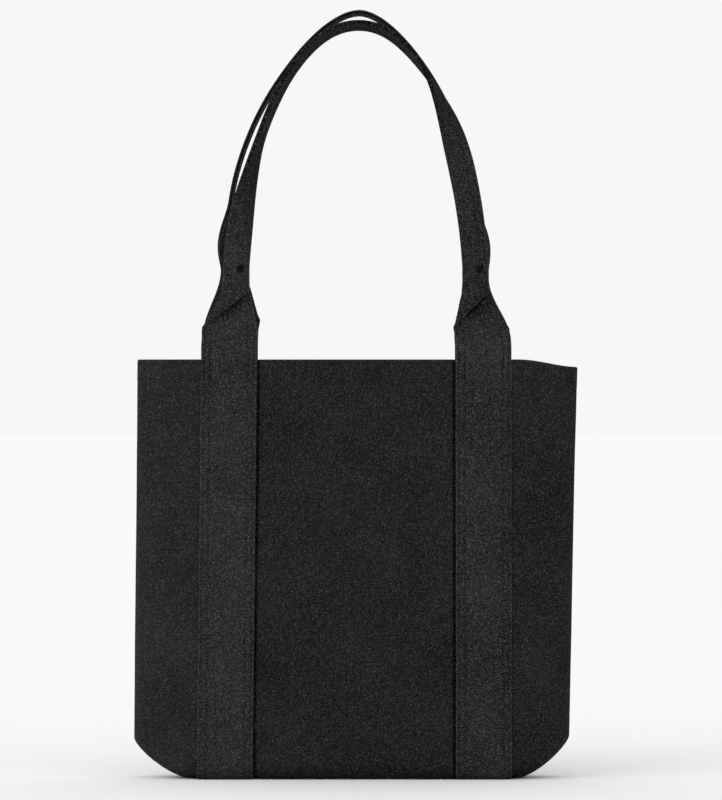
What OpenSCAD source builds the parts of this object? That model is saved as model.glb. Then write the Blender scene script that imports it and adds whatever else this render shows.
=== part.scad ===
// Canvas tote bag with two hinged shoulder handles.
// The bag stands on its base, its front faces -Y, and its width runs along X.
// The origin is the middle of the footprint, on the surface the bag stands on.

/* [Body] */
// Width of the body
body_w = 380; // [320:5:440]
// Height of the mouth above the floor
body_h = 361; // [300:1:420]
// Depth of the body at the floor
base_depth = 60; // [52:1:90]
// Depth of the open mouth
mouth_depth = 36; // [32:1:50]
// How far each bottom corner is cut in from the side
corner_run = 46; // [30:1:60]
// How far up the side each bottom corner reaches
corner_rise = 34; // [24:1:60]
// Thickness of the body cloth
cloth_t = 1.5; // [1.2:0.1:2]

/* [Mouth and seams] */
// Depth of the hem turned in at the mouth
hem_w = 20; // [15:1:30]
// Thickness of the turned-in hem
hem_t = 1.2; // [0.8:0.1:1.6]
// Width of the tape that binds the inside seams
binding_w = 10; // [6:1:14]
// Thickness of the binding tape
binding_t = 1.4; // [1:0.1:2]

/* [Straps] */
// Width of the strap where it lies flat on the body
strap_w = 48; // [36:1:56]
// Thickness of the strap, two layers of canvas
strap_t = 2.2; // [1.6:0.1:3]
// Distance between the middles of the two straps on one face
strap_spacing = 218; // [180:1:240]

/* [Handles] */
// Width of a handle where the strap is folded in half lengthwise
handle_w = 21.5; // [18:0.5:26]
// Thickness of the folded handle
handle_t = 3.8; // [3:0.1:5]
// Height over which a strap opens from folded to flat
flare_h = 79; // [60:1:100]
// Height of the front handle's crown above the mouth
front_rise = 288; // [240:1:310]
// Height of the back handle's crown above the mouth
back_rise = 300; // [252:1:330]
// How far each crown leans in from its hinge line
crown_lean = 7.5; // [6:0.5:7.5]
// How far the crowns sit to the right of the middle
crown_shift = 2; // [0:0.5:4]
// Where the front handle starts and ends its first quarter turn, as shares of its rise
first_turn = [0.22, 0.7]; // [0.1:0.01:0.95]
// The same on its other side, where it turns on to lie flat again
second_turn = [0.5, 0.95]; // [0.1:0.01:0.95]

/* [Stitching] */
// Width of a row of thread
thread_w = 0.8; // [0.5:0.1:1.2]
// How far thread stands off the cloth
thread_t = 0.4; // [0.3:0.1:0.6]
// Distance of the outer row from the strap's edge
row_inset = 2.5; // [2:0.5:4]
// Distance between the two rows of twin stitching
row_gap = 5; // [3:0.5:7]

/* [Hidden] */
$fn = 32;

canvas_tone = [0.17, 0.165, 0.165];
strap_tone = [0.2, 0.195, 0.195];
tape_tone = [0.12, 0.12, 0.125];
thread_tone = [0.3, 0.295, 0.29];

// Heights: the body cloth stands on the straps that pass under it.
floor_z = strap_t;
corner_z = floor_z + corner_rise;
hem_z = body_h - hem_w;
base_w = body_w - 2 * corner_run;
strap_x = strap_spacing / 2;
inner_x = body_w / 2 - cloth_t;
cross_margin = 3;
cross_h = hem_w - 2 * cross_margin + 2;
cross_w = strap_w - 2 * row_inset;
hem_row_z = hem_z + 2;
big = 3 * body_w;

// Handles: a leg opens from the folded handle to the flat strap at the mouth.
leg_gap = 1;
leg_z = body_h + leg_gap;
fold_z = body_h + flare_h;
arch_steps = 26;
leg_steps = 8;
// Distance of the sewn groove from the middle of the folded handle, towards its open edges
groove_x = 0.12 * handle_w;
touch_gap = 0.1;
bartack_w = 6;
bartack_h = 2;
bartack_t = 0.6;

// Each handle is [rise, half widths at the fold, spreads of the legs' curves, their reach up,
// the crown's reach, the crown's shift, first turn, second turn, turn at the crown].
// The half widths and spreads are for its left and right leg. The turns are the first and
// last height of each, as shares of the rise.
front_shape = [front_rise, [103, 103], [-6, -6], 107, 57, crown_shift, first_turn, second_turn, 79];
back_shape = [back_rise, [103, 106.5], [18, 23], 101, 40, -crown_shift, [0.27, 0.53], [0.27, 0.53], 90];

// Half of the body's outer depth at a height
function half_depth(z) = base_depth / 2 - (base_depth - mouth_depth) / 2 * z / body_h;

// A slab along the front wall, from x0 to x1 and z0 to z1: it reaches outside and inside
// the wall's outer face by the two given distances.
module front_slab(x0, x1, z0, z1, outside, inside)
    translate([x0, 0, 0]) rotate([90, 0, 90]) linear_extrude(x1 - x0)
        polygon([
            [-half_depth(z0) - outside, z0], [-half_depth(z1) - outside, z1],
            [-half_depth(z1) + inside, z1], [-half_depth(z0) + inside, z0]
        ]);

// The space between the front and back walls, held in from their outer faces by inset
module between_walls(inset)
    translate([-big / 2, 0, 0]) rotate([90, 0, 90]) linear_extrude(big)
        polygon([
            [-half_depth(0) + inset, 0], [-half_depth(body_h) + inset, body_h],
            [half_depth(body_h) - inset, body_h], [half_depth(0) - inset, 0]
        ]);

// A flat outline in X and Z, made solid all through the bag's depth
module through_depth() rotate([90, 0, 0]) linear_extrude(big, center = true) children();

module box(low, high) translate(low) cube(high - low);

module on_right() mirror([1, 0, 0]) children();
module on_back() mirror([0, 1, 0]) children();
module turned_to_back() rotate(180) children();

// Body cloth

module wall()
    color(canvas_tone) intersection() {
        front_slab(-body_w / 2, body_w / 2, floor_z, body_h, 0, cloth_t);
        through_depth() polygon([
            [-base_w / 2, floor_z], [base_w / 2, floor_z],
            [body_w / 2, corner_z], [body_w / 2, body_h],
            [-body_w / 2, body_h], [-body_w / 2, corner_z]
        ]);
    }

module side()
    color(canvas_tone) intersection() {
        between_walls(cloth_t);
        box([-body_w / 2, -base_depth, corner_z], [-inner_x, base_depth, body_h]);
    }

module corner()
    color(canvas_tone) intersection() {
        between_walls(cloth_t);
        through_depth() polygon([
            [-base_w / 2, floor_z], [-body_w / 2, corner_z],
            [-inner_x, corner_z], [-base_w / 2, floor_z + cloth_t]
        ]);
    }

module base_panel()
    color(canvas_tone) intersection() {
        between_walls(cloth_t);
        box([-base_w / 2, -base_depth, floor_z], [base_w / 2, base_depth, floor_z + cloth_t]);
    }

// Hems and bindings

module wall_hem()
    color(canvas_tone) front_slab(-inner_x, inner_x, hem_z, body_h, -cloth_t, cloth_t + hem_t);

module side_hem()
    color(canvas_tone) intersection() {
        between_walls(cloth_t + hem_t);
        box([-inner_x, -base_depth, hem_z], [-inner_x + hem_t, base_depth, body_h]);
    }

module seam_binding()
    color(tape_tone)
        box(
            [-inner_x, -binding_w / 2, corner_z + binding_w / 2],
            [-inner_x + binding_t, binding_w / 2, hem_z]
        );

module corner_binding()
    color(tape_tone) intersection() {
        between_walls(2 * cloth_t);
        box(
            [-base_w / 2 + cloth_t, -base_depth, floor_z + cloth_t],
            [-base_w / 2 + cloth_t + binding_w / 2, base_depth, floor_z + cloth_t + binding_t]
        );
    }

// Straps on the body

module wall_strap()
    color(strap_tone)
        front_slab(-strap_x - strap_w / 2, -strap_x + strap_w / 2, floor_z, body_h, strap_t, 0);

module base_strap() {
    reach = half_depth(floor_z) + strap_t;
    color(strap_tone)
        box(
            [-strap_x - strap_w / 2, -reach, 0],
            [-strap_x + strap_w / 2, reach, strap_t]
        );
}

// Two rows of thread along each edge of both straps, from the hem row to the floor
module strap_stitching() {
    row_x = strap_w / 2 - row_inset;
    color(thread_tone) for (middle = [-strap_x, strap_x], row = [-row_x, row_x])
        for (x = [middle + row, middle + row - sign(row) * row_gap])
            front_slab(
                x - thread_w / 2, x + thread_w / 2, floor_z + row_gap,
                hem_row_z - thread_w, strap_t + thread_t, -strap_t
            );
}

// A boxed cross of thread that holds the top of each strap to the hem
module cross_outline()
    intersection() {
        square([cross_w, cross_h], center = true);
        union() {
            difference() {
                square([cross_w, cross_h], center = true);
                square([cross_w - 2 * thread_w, cross_h - 2 * thread_w], center = true);
            }
            for (turn = [-1, 1])
                rotate(turn * atan(cross_h / cross_w)) square([big, thread_w], center = true);
        }
    }

module cross_stitching()
    color(thread_tone) for (x = [-strap_x, strap_x]) intersection() {
        front_slab(
            x - strap_w / 2, x + strap_w / 2, hem_z, body_h, strap_t + thread_t, -strap_t
        );
        through_depth() translate([x, hem_row_z + cross_h / 2]) cross_outline();
    }

// The row that holds the hem, on both walls between the straps and across both sides
module mouth_stitching() {
    z0 = hem_row_z - thread_w / 2;
    z1 = hem_row_z + thread_w / 2;
    inner = strap_x - strap_w / 2;
    outer = strap_x + strap_w / 2;
    stretches = [[-body_w / 2, -outer], [-inner, inner], [outer, body_w / 2]];
    color(thread_tone) for (turn = [0, 180]) rotate(turn) {
        for (s = stretches) front_slab(s[0], s[1], z0, z1, thread_t, 0);
        box(
            [-body_w / 2 - thread_t, -half_depth(z0), z0],
            [-body_w / 2, half_depth(z1), z1]
        );
    }
}

// Handles

function smooth(a, b, t) = let (u = max(0, min(1, (t - a) / (b - a)))) u * u * (3 - 2 * u);
function mix(a, b, t) = a + (b - a) * t;
function unit(v) = v / norm(v);
function bezier(p, t) =
    pow(1 - t, 3) * p[0] + 3 * t * pow(1 - t, 2) * p[1] + 3 * t * t * (1 - t) * p[2]
    + t * t * t * p[3];

// Depth of the front handle's middle line: it leaves the strap and leans in to the crown.
// The back handle is made in the same way, then turned round to the back.
function handle_y(shape, z) =
    -half_depth(body_h) - strap_t / 2 + crown_lean * (z - body_h) / shape[0];

function leg_index(side) = side < 0 ? 0 : 1;

// One side's curve from the fold to the crown, as [x, z]; side is -1 on the left
function arch_point(shape, side, t) =
    let (top = body_h + shape[0], foot = shape[1][leg_index(side)])
    bezier([
        [side * foot, fold_z],
        [side * (foot + shape[2][leg_index(side)]), fold_z + shape[3]],
        [shape[5] + side * shape[4], top],
        [shape[5], top]
    ], t);

// The folded strap makes half a turn from one leg to the other. Its crease is outside the
// arch on the left leg, faces forward at the crown and is inside the arch on the right leg.
function arch_turn(shape, side, z) =
    let (share = (z - body_h) / shape[0])
    side < 0
        ? shape[8] * smooth(shape[6][0], shape[6][1], share)
        : 180 - (180 - shape[8]) * smooth(shape[7][0], shape[7][1], share);

// A station is [middle, vector across to the crease, vector through the thickness].
// lift moves it across, then off the face. The end stations are level, to meet the legs.
function arch_station(shape, side, t, w, thick, lift) =
    let (
        here = arch_point(shape, side, t),
        step = 0.01,
        before = arch_point(shape, side, max(0, t - step)),
        after = arch_point(shape, side, min(1, t + step)),
        along = -side * (t == 0 ? [0, 0, 1] : unit([
            after[0] - before[0],
            handle_y(shape, after[1]) - handle_y(shape, before[1]),
            after[1] - before[1]
        ])),
        outward = unit(cross(along, [0, 1, 0])),
        backward = cross(outward, along),
        turn = arch_turn(shape, side, here[1]),
        crease = cos(turn) * outward - sin(turn) * backward,
        face = cross(crease, along),
        middle = [here[0], handle_y(shape, here[1]), here[1]]
    )
    [middle + lift[0] * crease + lift[1] * face, w * crease, thick * face];

// All stations of an arch, from the left fold to the right fold
function arch_stations(shape, w, thick, lift) = [
    for (i = [0 : arch_steps]) arch_station(shape, -1, i / arch_steps, w, thick, lift),
    for (i = [1 : arch_steps]) arch_station(shape, 1, 1 - i / arch_steps, w, thick, lift)
];

// The left leg of a handle from the mouth to the fold, closing from the strap's width to
// the handle's. side says which of the handle's two legs it is.
function leg_stations(shape, side) = [
    for (i = [0 : leg_steps])
        let (
            share = i / leg_steps,
            z = mix(leg_z, fold_z, share),
            x = -mix(strap_x, shape[1][leg_index(side)], smooth(0.1, 0.9, share)),
            w = mix(strap_w, handle_w, smooth(0.25, 0.85, share)),
            t = mix(strap_t, handle_t, smooth(0.1, 0.6, share))
        )
        [[x, handle_y(shape, z), z], [-w, 0, 0], [0, t, 0]]
];

// A closed band through its stations
module band(stations) {
    last = len(stations) - 1;
    corners = [[-1, -1], [1, -1], [1, 1], [-1, 1]];
    points = [
        for (s = stations, c = corners) s[0] + c[0] * s[1] / 2 + c[1] * s[2] / 2
    ];
    walls = [
        for (i = [0 : last - 1], k = [0 : 3])
            let (a = 4 * i + k, b = 4 * i + (k + 1) % 4)
            each [[a, a + 4, b], [b, a + 4, b + 4]]
    ];
    ends = [
        [0, 1, 2], [0, 2, 3],
        [4 * last + 2, 4 * last + 1, 4 * last], [4 * last + 3, 4 * last + 2, 4 * last]
    ];
    polyhedron(points, concat(walls, ends));
}

module handle(shape) color(strap_tone) band(arch_stations(shape, handle_w, handle_t, [0, 0]));

module leg(shape, side) color(strap_tone) band(leg_stations(shape, side));

// A row of thread in the groove, on both faces of the folded handle
module handle_stitching(shape) {
    off = handle_t / 2 + thread_t / 2 + touch_gap;
    color(thread_tone) for (face = [-1, 1])
        band(arch_stations(shape, thread_w, thread_t, [-groove_x, face * off]));
}

// Bars of close stitching that end the groove at the bottom of each fold
module bartacks(shape) {
    z = fold_z - bartack_h;
    off = handle_t / 2 + bartack_t / 2 + touch_gap;
    lean = -atan(crown_lean / shape[0]);
    color(thread_tone) for (side = [-1, 1], face = [-1, 1])
        translate([side * shape[1][leg_index(side)] + groove_x, handle_y(shape, z), z])
            rotate([lean, 0, 0]) translate([0, face * off, 0])
                cube([bartack_w, bartack_t, bartack_h], center = true);
}

wall();  // front_panel
on_back() wall();  // back_panel
side();  // left_side
on_right() side();  // right_side
base_panel();
corner();  // left_corner
on_right() corner();  // right_corner
wall_hem();  // front_hem
on_back() wall_hem();  // back_hem
side_hem();  // left_hem
on_right() side_hem();  // right_hem
seam_binding();  // left_seam_binding
on_right() seam_binding();  // right_seam_binding
corner_binding();  // left_corner_binding
on_right() corner_binding();  // right_corner_binding
wall_strap();  // front_left_strap
on_right() wall_strap();  // front_right_strap
on_back() wall_strap();  // back_left_strap
on_back() on_right() wall_strap();  // back_right_strap
base_strap();  // left_base_strap
on_right() base_strap();  // right_base_strap
strap_stitching();  // front_strap_stitching
on_back() strap_stitching();  // back_strap_stitching
cross_stitching();  // front_cross_stitching
on_back() cross_stitching();  // back_cross_stitching
mouth_stitching();
handle(front_shape);  // front_handle
leg(front_shape, -1);  // front_left_leg
on_right() leg(front_shape, 1);  // front_right_leg
handle_stitching(front_shape);  // front_handle_stitching
bartacks(front_shape);  // front_bartacks
turned_to_back() handle(back_shape);  // back_handle
on_back() leg(back_shape, 1);  // back_left_leg
turned_to_back() leg(back_shape, -1);  // back_right_leg
turned_to_back() handle_stitching(back_shape);  // back_handle_stitching
turned_to_back() bartacks(back_shape);  // back_bartacks
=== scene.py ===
"""Canvas tote bag: a sewn canvas shell with two full-length straps that become the handles.

Shapes are worked out in millimetres, and meshes are made from them in metres. The frame's boxes,
the users' settings, the materials and the stage are in metres.
"""
import math

import bpy
import numpy as np
from bpy.props import FloatProperty, FloatVectorProperty, PointerProperty
from bpy.types import Operator, Panel, PropertyGroup
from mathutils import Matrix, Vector, noise


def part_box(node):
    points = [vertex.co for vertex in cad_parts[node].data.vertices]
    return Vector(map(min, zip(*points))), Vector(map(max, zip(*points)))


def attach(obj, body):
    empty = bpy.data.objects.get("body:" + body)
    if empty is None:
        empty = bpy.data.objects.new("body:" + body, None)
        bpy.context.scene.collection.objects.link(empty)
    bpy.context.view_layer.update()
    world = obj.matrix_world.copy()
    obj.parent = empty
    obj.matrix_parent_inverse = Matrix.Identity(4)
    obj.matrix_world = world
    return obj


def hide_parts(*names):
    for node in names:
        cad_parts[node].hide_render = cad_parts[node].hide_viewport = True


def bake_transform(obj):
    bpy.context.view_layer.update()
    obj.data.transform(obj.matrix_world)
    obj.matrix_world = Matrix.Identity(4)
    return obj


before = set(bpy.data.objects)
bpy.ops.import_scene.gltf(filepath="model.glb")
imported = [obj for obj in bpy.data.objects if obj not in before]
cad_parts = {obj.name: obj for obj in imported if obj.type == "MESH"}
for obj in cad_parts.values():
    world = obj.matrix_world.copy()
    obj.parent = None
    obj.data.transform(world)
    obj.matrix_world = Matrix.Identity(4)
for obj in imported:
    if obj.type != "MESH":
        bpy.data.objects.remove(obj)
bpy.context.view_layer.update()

bl_info = {
    "name": "Canvas Tote Bag",
    "version": (1, 0, 0),
    "blender": (4, 5, 0),
    "location": "View3D > Sidebar > Tote",
    "description": "Builds a canvas tote bag with sewn straps and folding handles",
    "category": "Add Mesh",
}

MM = 0.001

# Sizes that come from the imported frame
WALL_LOW, WALL_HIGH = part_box("front_panel")
STRAP_LOW, STRAP_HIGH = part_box("front_right_strap")
LEG_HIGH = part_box("front_right_leg")[1]
BODY_H = WALL_HIGH[2] / MM
BODY_HALF_W = WALL_HIGH[0] / MM
BASE_HALF_D = -WALL_LOW[1] / MM
STRAP_X = (STRAP_LOW[0] + STRAP_HIGH[0]) / 2 / MM


class ToteSizes(PropertyGroup):
    """Sizes of the cloth, the straps and the stitching"""

    mouth_depth: FloatProperty(
        name="Mouth depth", description="How far the mouth stands open, front to back",
        default=0.036, min=0.02, max=0.08, unit="LENGTH",
    )
    cloth_thickness: FloatProperty(
        name="Cloth thickness", description="Thickness of the body canvas",
        default=0.0015, min=0.0008, max=0.003, unit="LENGTH",
    )
    hem_depth: FloatProperty(
        name="Hem depth", description="Width of the hem turned in at the mouth",
        default=0.020, min=0.01, max=0.04, unit="LENGTH",
    )
    strap_thickness: FloatProperty(
        name="Strap thickness", description="Thickness of the doubled strap",
        default=0.0018, min=0.001, max=0.003, unit="LENGTH",
    )
    handle_width: FloatProperty(
        name="Handle width", description="Width of the handle, the strap folded in half",
        default=0.0220, min=0.018, max=0.026, unit="LENGTH",
    )
    stitch_pitch: FloatProperty(
        name="Stitch pitch", description="Distance from one stitch to the next",
        default=0.0026, min=0.0015, max=0.005, unit="LENGTH",
    )
    thread_width: FloatProperty(
        name="Thread width", description="Width of the sewing thread",
        default=0.00062, min=0.0003, max=0.0012, unit="LENGTH",
    )


class ToteColours(PropertyGroup):
    """Colours of the canvas, the tape and the thread"""

    body_canvas: FloatVectorProperty(
        name="Body canvas", description="Colour of the body cloth", subtype="COLOR",
        size=3, default=(0.0178, 0.0173, 0.0172), min=0, max=1,
    )
    strap_canvas: FloatVectorProperty(
        name="Strap canvas", description="Colour of the straps and handles", subtype="COLOR",
        size=3, default=(0.0262, 0.0255, 0.0252), min=0, max=1,
    )
    tape: FloatVectorProperty(
        name="Binding tape", description="Colour of the tape that binds the inside seams",
        subtype="COLOR", size=3, default=(0.0110, 0.0108, 0.0110), min=0, max=1,
    )
    thread: FloatVectorProperty(
        name="Thread", description="Colour of the sewing thread", subtype="COLOR",
        size=3, default=(0.0500, 0.0488, 0.0481), min=0, max=1,
    )


# Small helpers ---------------------------------------------------------------------------


def mix(a, b, t):
    return a + (b - a) * t


def smooth(a, b, t):
    """Rises from 0 at a to 1 at b."""
    u = np.clip((t - a) / (b - a), 0.0, 1.0)
    return u * u * (3 - 2 * u)


def hump(t, width):
    return np.exp(-((t / width) ** 2))


def unit(v):
    v = np.asarray(v, float)
    length = np.linalg.norm(v, axis=-1, keepdims=True)
    return v / np.maximum(length, 1e-9)


def rough(points, scale, seed):
    """Smooth noise from -1 to 1 at an array of points, with features about scale apart."""
    flat = np.asarray(points, float).reshape(-1, 3) / scale
    values = [noise.noise(Vector((p[0] + 17.3 * seed, p[1] - 9.1 * seed, p[2]))) for p in flat]
    return np.array(values).reshape(np.asarray(points).shape[:-1])


def rough_line(t, scale, seed):
    """Smooth noise along one length."""
    t = np.asarray(t, float)
    return rough(np.stack([t, np.zeros_like(t), np.zeros_like(t)], -1), scale, seed)


def make_mesh(name, verts, faces, **attributes):
    """A mesh object in metres from points in millimetres; attributes are per point."""
    mesh = bpy.data.meshes.new(name)
    mesh.from_pydata((np.asarray(verts) * MM).tolist(), [], faces)
    for label, values in attributes.items():
        values = np.asarray(values, np.float32)
        if values.ndim == 2:
            layer = mesh.attributes.new(label, "FLOAT_VECTOR", "POINT")
            layer.data.foreach_set("vector", values.ravel())
        else:
            layer = mesh.attributes.new(label, "FLOAT", "POINT")
            layer.data.foreach_set("value", values)
    mesh.validate()
    mesh.shade_smooth()
    piece = bpy.data.objects.new(name, mesh)
    bpy.context.scene.collection.objects.link(piece)
    return piece


def grid_faces(rows, columns, closed=False):
    """Quads of a grid of points; closed joins the last column to the first."""
    faces = []
    last = columns if closed else columns - 1
    for r in range(rows - 1):
        for c in range(last):
            a = r * columns + c
            b = r * columns + (c + 1) % columns
            faces.append((a, b, b + columns, a + columns))
    return faces


def finish_piece(piece, material, nodes):
    piece.data.materials.append(bpy.data.materials[material])
    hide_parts(*nodes)


# Shape of the sewn body ------------------------------------------------------------------

FLOOR_GAP = 2.2         # height of the base cloth, which lies on the straps under it
ROLL = 10.0             # radius of the roll from the walls to the base
HEM_EXTRA = 1.25        # thickness that the turned-in hem adds
MOUTH_ROW_Z = BODY_H - 18.0
STRAP_HALF = 24.0       # half the width of the cut strap
GROOVE_OUT = 0.9        # distance of the groove beside a strap from the strap's edge
SECTION_END = 9.0       # the powers of a horizontal section: how squarely it ends
SECTION_SIDE = 2.2
CORNER_ROUND = 1.38     # 1 is a straight cut across a bottom corner, 2 a quarter circle
CLOTH_STEP = 2.8        # distance between rows of the cloth's mesh
FINE_STEP = 0.75        # distance between columns beside the straps
SEAM_STEP = 0.8         # distance between rows at the mouth's stitching
HALF_GIRTH = 206.0      # half the cut width of one body piece
FLAT_REACH = 132.0      # columns out to here aren't stretched to meet the side seam
MOUTH_DROOP = 6.5       # how far the mouth's right corner hangs down
SEAM_TUCK = (2.0, 6.5)  # how far the side seam is drawn in, low down and at the mouth


def side_edge(z, side):
    """Distance of the side from the middle, above the bottom corners."""
    down = np.clip(1 - z / BODY_H, 0.0, 1.0)
    left = BODY_HALF_W - 1.2 + 3.6 * down
    right = BODY_HALF_W + 0.8 - 7.5 * down**0.9
    return np.where(side < 0, left, right)


def half_width(z, side):
    """Half width of the bag at a height, cut in round each bottom corner."""
    run = np.where(side < 0, 51.0, 46.5)
    rise = np.where(side < 0, 34.0, 36.0)
    down = np.clip(1 - z / rise, 0.0, 1.0)
    cut = run * (1 - (1 - down**CORNER_ROUND) ** (1 / CORNER_ROUND))
    return side_edge(z, side) - cut


def half_depth(z):
    mouth = bpy.context.scene.tote_sizes.mouth_depth / MM / 2
    return BASE_HALF_D - (BASE_HALF_D - mouth) * z / BODY_H


def strap_middle(z, side, face):
    """Middle of a flat strap on the body; the front left strap runs slightly outward."""
    lean = 3.5 * (1 - z / BODY_H) if face > 0 and side < 0 else 0.0
    return side * (STRAP_X + STRAP_SHIFT + lean)


def soft_shape(x, z, face):
    """How far the relaxed cloth stands out from the plain loft: bulge and undulation."""
    seed = 3 if face > 0 else 8
    share = np.clip(z / BODY_H, 0, 1)
    middle = np.cos(np.clip(x / 200, -1, 1) * math.pi / 2) ** 2
    bulge = 2.6 * middle * np.sin(math.pi * share) ** 0.8
    bulge = bulge + 0.9 * hump(np.abs(x) - 160, 22) * np.sin(math.pi * share)
    place = np.stack([x, 0.7 * z, np.zeros_like(x)], -1)
    calm = smooth(0.0, 40.0, z) * smooth(BODY_H + 6, BODY_H - 70, z)
    waves = 2.4 * rough(place, 95.0, seed) + 0.9 * rough(place, 38.0, seed + 1)
    return bulge + waves * (0.25 + 0.75 * calm)


def loft_depth(x, z, side_width):
    """Depth of the plain loft's wall at x."""
    reach = np.clip(np.abs(x) / side_width, 0, 1) ** SECTION_END
    return half_depth(z) * (1 - reach) ** (1 / SECTION_SIDE)


def wall_out(x, z, face):
    """How far the relaxed wall stands from the bag's middle plane, without its small marks."""
    x = np.asarray(x, float)
    z = np.asarray(z, float) + np.zeros_like(x)
    width = half_width(np.maximum(z, 40.0), np.sign(x * face) + (x == 0))
    return loft_depth(x, z, width) + soft_shape(x, z, face)


# Marks on each face: how far each stands out, then its middle or its two ends, and its width
DIMPLES = {
    1: ((-3.0, (-157, 198), 11), (1.2, (-168, 214), 14)),
    -1: ((-1.6, (48, 150), 16),),
}
CREASES = {
    1: (
        (-2.2, (-134, 185), (-166, 149), 3.0), (1.4, (-131, 177), (-160, 143), 4.0),
        (-1.8, (-72, 62), (-34, 18), 4.5), (-0.9, (66, 40), (20, 20), 5.0),
        (-1.4, (-181, 62), (-180, 14), 2.4), (-1.1, (142, 70), (172, 28), 4.0),
        (0.9, (150, 330), (176, 250), 7.0),
    ),
    -1: (
        (-1.2, (136, 120), (168, 60), 3.6), (-1.1, (-60, 70), (-20, 24), 5.0),
        (-0.9, (-178, 190), (-150, 150), 4.0),
    ),
}


def crease(x, z, start, end, width):
    """A crease from start to end, 1 along its middle and fading to its ends."""
    ax, az = start
    bx, bz = end
    length = math.hypot(bx - ax, bz - az)
    along = ((x - ax) * (bx - ax) + (z - az) * (bz - az)) / length
    across = ((x - ax) * (bz - az) - (z - az) * (bx - ax)) / length
    return hump(across, width) * smooth(-6, 8, along) * smooth(length + 6, length - 8, along)


def small_marks(x, z, face):
    """Grooves beside the straps, the hem's stitch valley, dimples and creases."""
    out = np.zeros_like(x)
    for side in (-1, 1):
        inner = strap_middle(z, side, face) - side * (STRAP_HALF + GROOVE_OUT)
        out = out - 2.1 * hump(x - inner, 1.15) * smooth(0.0, 10.0, z)
    under = np.zeros_like(x)
    for side in (-1, 1):
        under = under + hump(x - side * STRAP_X, 19) ** 0.3
    bare = 1 - np.clip(under, 0, 1) * 0.8
    out = out + 0.55 * smooth(MOUTH_ROW_Z - 3.0, MOUTH_ROW_Z + 1.5, z) * bare
    pucker = 0.75 + 0.5 * rough(np.stack([x, z * 0, z * 0], -1), 7.0, 5)
    out = out - 0.75 * hump(z - MOUTH_ROW_Z, 1.3) * bare * pucker
    ripple = rough(np.stack([x, z * 0.25, z * 0], -1), 16.0, 6)
    out = out + 0.35 * ripple * hump(z - MOUTH_ROW_Z, 26)
    for lift, (middle_x, middle_z), width in DIMPLES[face]:
        out = out + lift * hump(np.hypot(x - middle_x, z - middle_z), width)
    for lift, start, end, width in CREASES[face]:
        out = out + lift * crease(x, z, start, end, width)
    return out


def column_places():
    """Arc lengths of the cloth's columns from the middle, closer together at the strap edges."""
    places = [0.0]
    inner_edge = STRAP_X - STRAP_HALF
    while places[-1] < HALF_GIRTH:
        here = places[-1]
        fine = inner_edge - 6 < here < inner_edge + 7
        places.append(here + (FINE_STEP if fine else CLOTH_STEP + 0.1))
    places = np.array(places)
    return np.concatenate([-places[:0:-1], places])


def row_places():
    """Heights and insets of the cloth's rows, from the mouth down the wall and under the base."""
    z = [BODY_H, BODY_H - 0.8, BODY_H - 2.0, BODY_H - 4.0]
    while z[-1] > FLOOR_GAP + ROLL + 1.0:
        near_row = abs(z[-1] - MOUTH_ROW_Z) < 5.0
        step = SEAM_STEP if near_row else CLOTH_STEP
        z.append(max(z[-1] - step, FLOOR_GAP + ROLL))
    inset = [0.0] * len(z)
    turns = 9
    for i in range(1, turns + 1):
        angle = i / turns * math.pi / 2
        z.append(FLOOR_GAP + ROLL * (1 - math.sin(angle)))
        inset.append(ROLL * (1 - math.cos(angle)))
    steps = 8
    for i in range(1, steps + 1):
        z.append(FLOOR_GAP)
        inset.append(mix(ROLL, BASE_HALF_D - 0.15, i / steps))
    return np.array(z), np.array(inset)


def seam_tuck(z):
    """How far the side seam is drawn in at a height."""
    return mix(*SEAM_TUCK, smooth(60, 330, z))


def section(z, inset, face, columns):
    """One row of points: the horizontal section from the left seam to the right seam."""
    depth = half_depth(z)
    flat, turn = 160, 120
    halves = []
    for side in (-1, 1):
        width = float(half_width(np.array(z), np.array(side * face)))
        corner = 0.9 * width
        x = np.concatenate([np.linspace(0, corner, flat), np.zeros(turn)])
        y = np.zeros(flat + turn)
        y[:flat] = depth * (1 - (x[:flat] / width) ** SECTION_END) ** (1 / SECTION_SIDE)
        y[flat:] = np.linspace(y[flat - 1], 0, turn + 1)[1:]
        reach = 1 - (y[flat:] / depth) ** SECTION_SIDE
        x[flat:] = width * np.clip(reach, 0, 1) ** (1 / SECTION_END)
        arc = np.concatenate([[0], np.cumsum(np.hypot(np.diff(x), np.diff(y)))])
        want = np.abs(columns[columns < 0][::-1] if side < 0 else columns[columns >= 0])
        beyond = (want - FLAT_REACH) / (want.max() - FLAT_REACH)
        stretched = FLAT_REACH + beyond * (arc[-1] - FLAT_REACH)
        place = np.where(want <= FLAT_REACH, want, stretched)
        px = np.interp(place, arc, x)
        py = np.interp(place, arc, y)
        tuck = float(seam_tuck(z)) * float(smooth(0, 50, z))
        px = px - tuck * hump(py, 0.55 * depth)
        px = px + (width - px.max()) * (px / px.max()) ** 8
        py = py * (depth - inset) / depth
        points = np.stack([side * px, py, place * side], -1)
        halves.append(points[::-1] if side < 0 else points)
    return np.concatenate(halves)


def settle(points, face):
    """Lowers the mouth's right corner, and the base cloth between and beside the straps."""
    x, z = points[..., 0] * face, points[..., 2]
    droop = MOUTH_DROOP * smooth(140, 192, x) * smooth(BODY_H - 110, BODY_H, z)
    bare = smooth(86, 78, np.abs(x)) + smooth(134, 142, np.abs(x))
    sag = 1.6 * bare * smooth(30, FLOOR_GAP, z)
    points[..., 2] = z - droop - sag
    return points


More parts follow.
